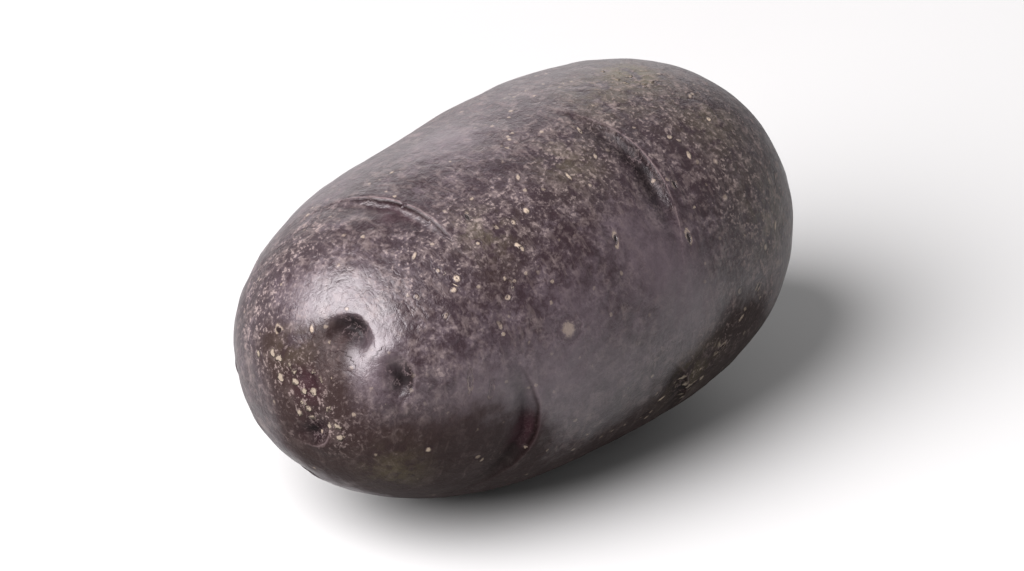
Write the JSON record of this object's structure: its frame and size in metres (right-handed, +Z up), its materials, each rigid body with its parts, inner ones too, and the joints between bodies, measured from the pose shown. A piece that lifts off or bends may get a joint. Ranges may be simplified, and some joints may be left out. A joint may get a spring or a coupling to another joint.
{
  "type": "potato",
  "caption": "Oblong purple-skinned potato tuber with browed eyes, a stolon scar and a small flat spot to lie on.",
  "frame": {"origin": "centre of the small flat spot on the belly, on the surface that the tuber lies on", "axes": "+X along the tuber from the rose end, where the eyes crowd together, to the stem end with its stolon scar; +Z up from the surface that it lies on; +Y completes a right-handed frame"},
  "size_m": [0.0836, 0.0486, 0.0458],
  "materials": {
    "skin": "dark violet-brown potato skin, waxy where it is clean and matt where soil dust clings"
  },
  "bodies": {
    "root": {"tuber": "skin"}
  },
  "joints": []
}
